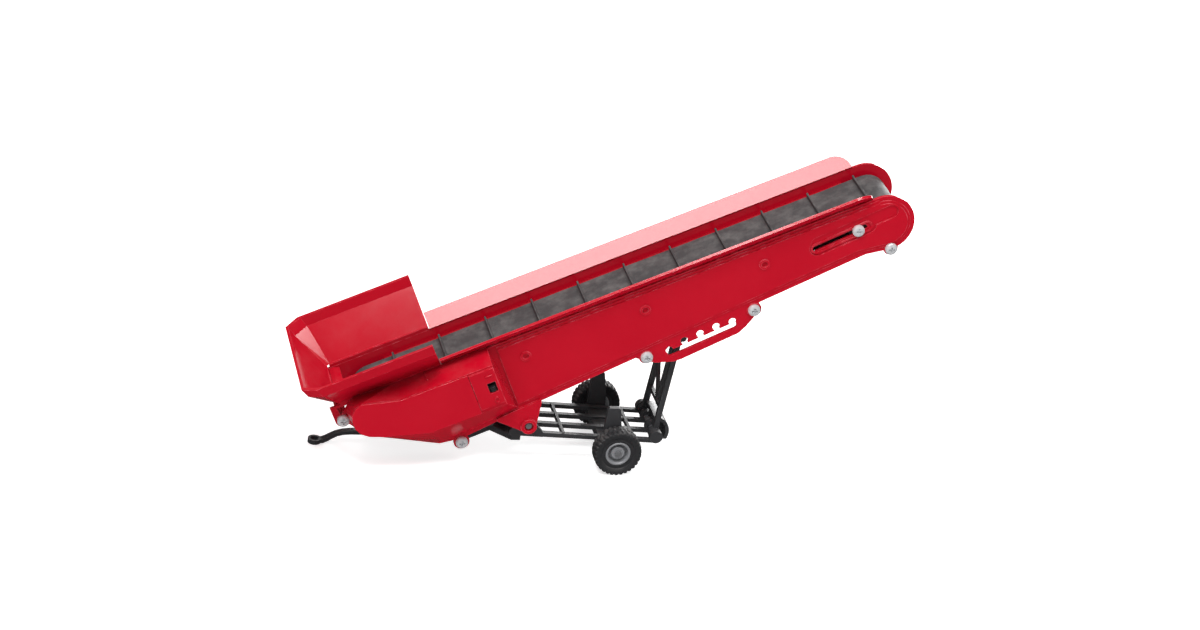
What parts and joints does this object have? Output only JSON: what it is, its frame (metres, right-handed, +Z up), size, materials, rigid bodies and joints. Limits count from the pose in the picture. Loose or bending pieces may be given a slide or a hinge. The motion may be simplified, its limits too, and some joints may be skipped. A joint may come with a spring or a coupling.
{
  "type": "toy belt conveyor",
  "caption": "Toy farm belt conveyor: cleated belt between flared side panels, receiving hopper, battery pod and notched lifting strut on a two-wheeled drawbar chassis.",
  "frame": {"origin": "centre of the towing eye's bore at ground level, at the eye's underside", "axes": "+X from the towing eye to the discharge head, +Y to the side away from the battery pod, +Z up along the eye's bore"},
  "size_m": [0.3866, 0.0988, 0.2027],
  "materials": {
    "red_gloss": "glossy moulded red",
    "red_inner": "moulded red, inner pieces",
    "grey_frame": "satin dark grey moulding",
    "tyre": "soft black tyre",
    "rim_grey": "light grey moulding",
    "screw": "bright plated",
    "belt": "matte dark grey rubber",
    "band": "black rubber",
    "black_plastic": "black moulding",
    "cell": "plain green sleeve",
    "contact": "sprung plate",
    "pin_steel": "turned steel"
  },
  "bodies": {
    "chassis": {"chassis_frame": "grey_frame", "drawbar": "grey_frame", "axle_carrier": "grey_frame", "rear_guard": "grey_frame", "wheel_axle": "pin_steel", "tilt_pin": "pin_steel", "strut_pin": "pin_steel"},
    "wheel_near": {"rim_near": "rim_grey", "tyre_near": "tyre"},
    "wheel_far": {"rim_far": "rim_grey", "tyre_far": "tyre"},
    "conveyor": {"panel_near": "red_gloss", "panel_far": "red_gloss", "belt_deck": "red_inner", "tie_tube_1": "red_inner", "tie_tube_2": "red_inner", "tie_tube_3": "red_inner", "spacer_1": "red_inner", "spacer_2": "red_inner", "spacer_3": "red_inner", "spacer_4": "red_inner", "spacer_5": "red_inner", "screw_near_1": "screw", "screw_near_2": "screw", "screw_near_3": "screw", "screw_near_4": "screw", "screw_near_5": "screw", "screw_far_1": "screw", "screw_far_2": "screw", "screw_far_3": "screw", "screw_far_4": "screw", "screw_far_5": "screw", "tension_screw_near": "screw", "tension_screw_far": "screw", "tension_plate_near": "black_plastic", "tension_plate_far": "black_plastic", "belt": "belt", "head_shaft": "pin_steel", "hopper": "red_gloss", "tail_cover": "red_gloss", "pod_body": "red_gloss", "switch_body": "black_plastic", "cell_lower": "cell", "cell_upper": "cell", "contacts_tail": "contact", "contacts_head": "contact", "motor": "pin_steel", "motor_mount": "red_inner", "drive_band": "band"},
    "strut": {"strut_frame": "grey_frame", "lock_bar": "grey_frame"},
    "drive_roller": {"drive_roller": "black_plastic", "drive_pulley": "pin_steel"},
    "head_roller": {"head_roller": "black_plastic"},
    "motor_shaft": {"motor_pulley": "pin_steel"},
    "battery_door": {"battery_door": "red_gloss"},
    "switch_slider": {"switch_slider": "black_plastic"}
  },
  "joints": [
    {"name": "conveyor_tilt", "type": "hinge", "parent": "chassis", "child": "conveyor", "pos_m": [0.133, 0, 0.0296], "axis": [0, 1, 0], "range_deg": [-4.9, 16]},
    {"name": "strut_fold", "type": "hinge", "parent": "chassis", "child": "strut", "pos_m": [0.2209, 0, 0.02], "axis": [0, 1, 0], "range_deg": [-12.5, 40.8]},
    {"name": "wheel_near_spin", "type": "hinge", "parent": "chassis", "child": "wheel_near", "pos_m": [0.1924, 0, 0.0157], "axis": [0, 1, 0], "continuous": true},
    {"name": "wheel_far_spin", "type": "hinge", "parent": "chassis", "child": "wheel_far", "pos_m": [0.1924, 0, 0.0157], "axis": [0, 1, 0], "continuous": true},
    {"name": "drive_roller_spin", "type": "hinge", "parent": "conveyor", "child": "drive_roller", "pos_m": [0.03726, 0, 0.03357], "axis": [0, 1, 0], "continuous": true},
    {"name": "head_roller_spin", "type": "hinge", "parent": "conveyor", "child": "head_roller", "pos_m": [0.34812, 0, 0.18184], "axis": [0, 1, 0], "continuous": true},
    {"name": "motor_spin", "type": "hinge", "parent": "conveyor", "child": "motor_shaft", "pos_m": [0.07943, 0, 0.02576], "axis": [0, 1, 0], "continuous": true},
    {"name": "battery_door_slide", "type": "slide", "parent": "conveyor", "child": "battery_door", "axis": [-0.9026, 0, -0.4305], "range_m": [0, 0.012]},
    {"name": "switch_slide", "type": "slide", "parent": "conveyor", "child": "switch_slider", "axis": [-0.4305, 0, 0.9026], "range_m": [0, 0.003]}
  ],
  "couplings": [
    {"joint": "strut_fold", "follows": "conveyor_tilt", "ratio": 2.55},
    {"joint": "head_roller_spin", "follows": "drive_roller_spin", "ratio": 1},
    {"joint": "motor_spin", "follows": "drive_roller_spin", "ratio": 3.2692}
  ]
}
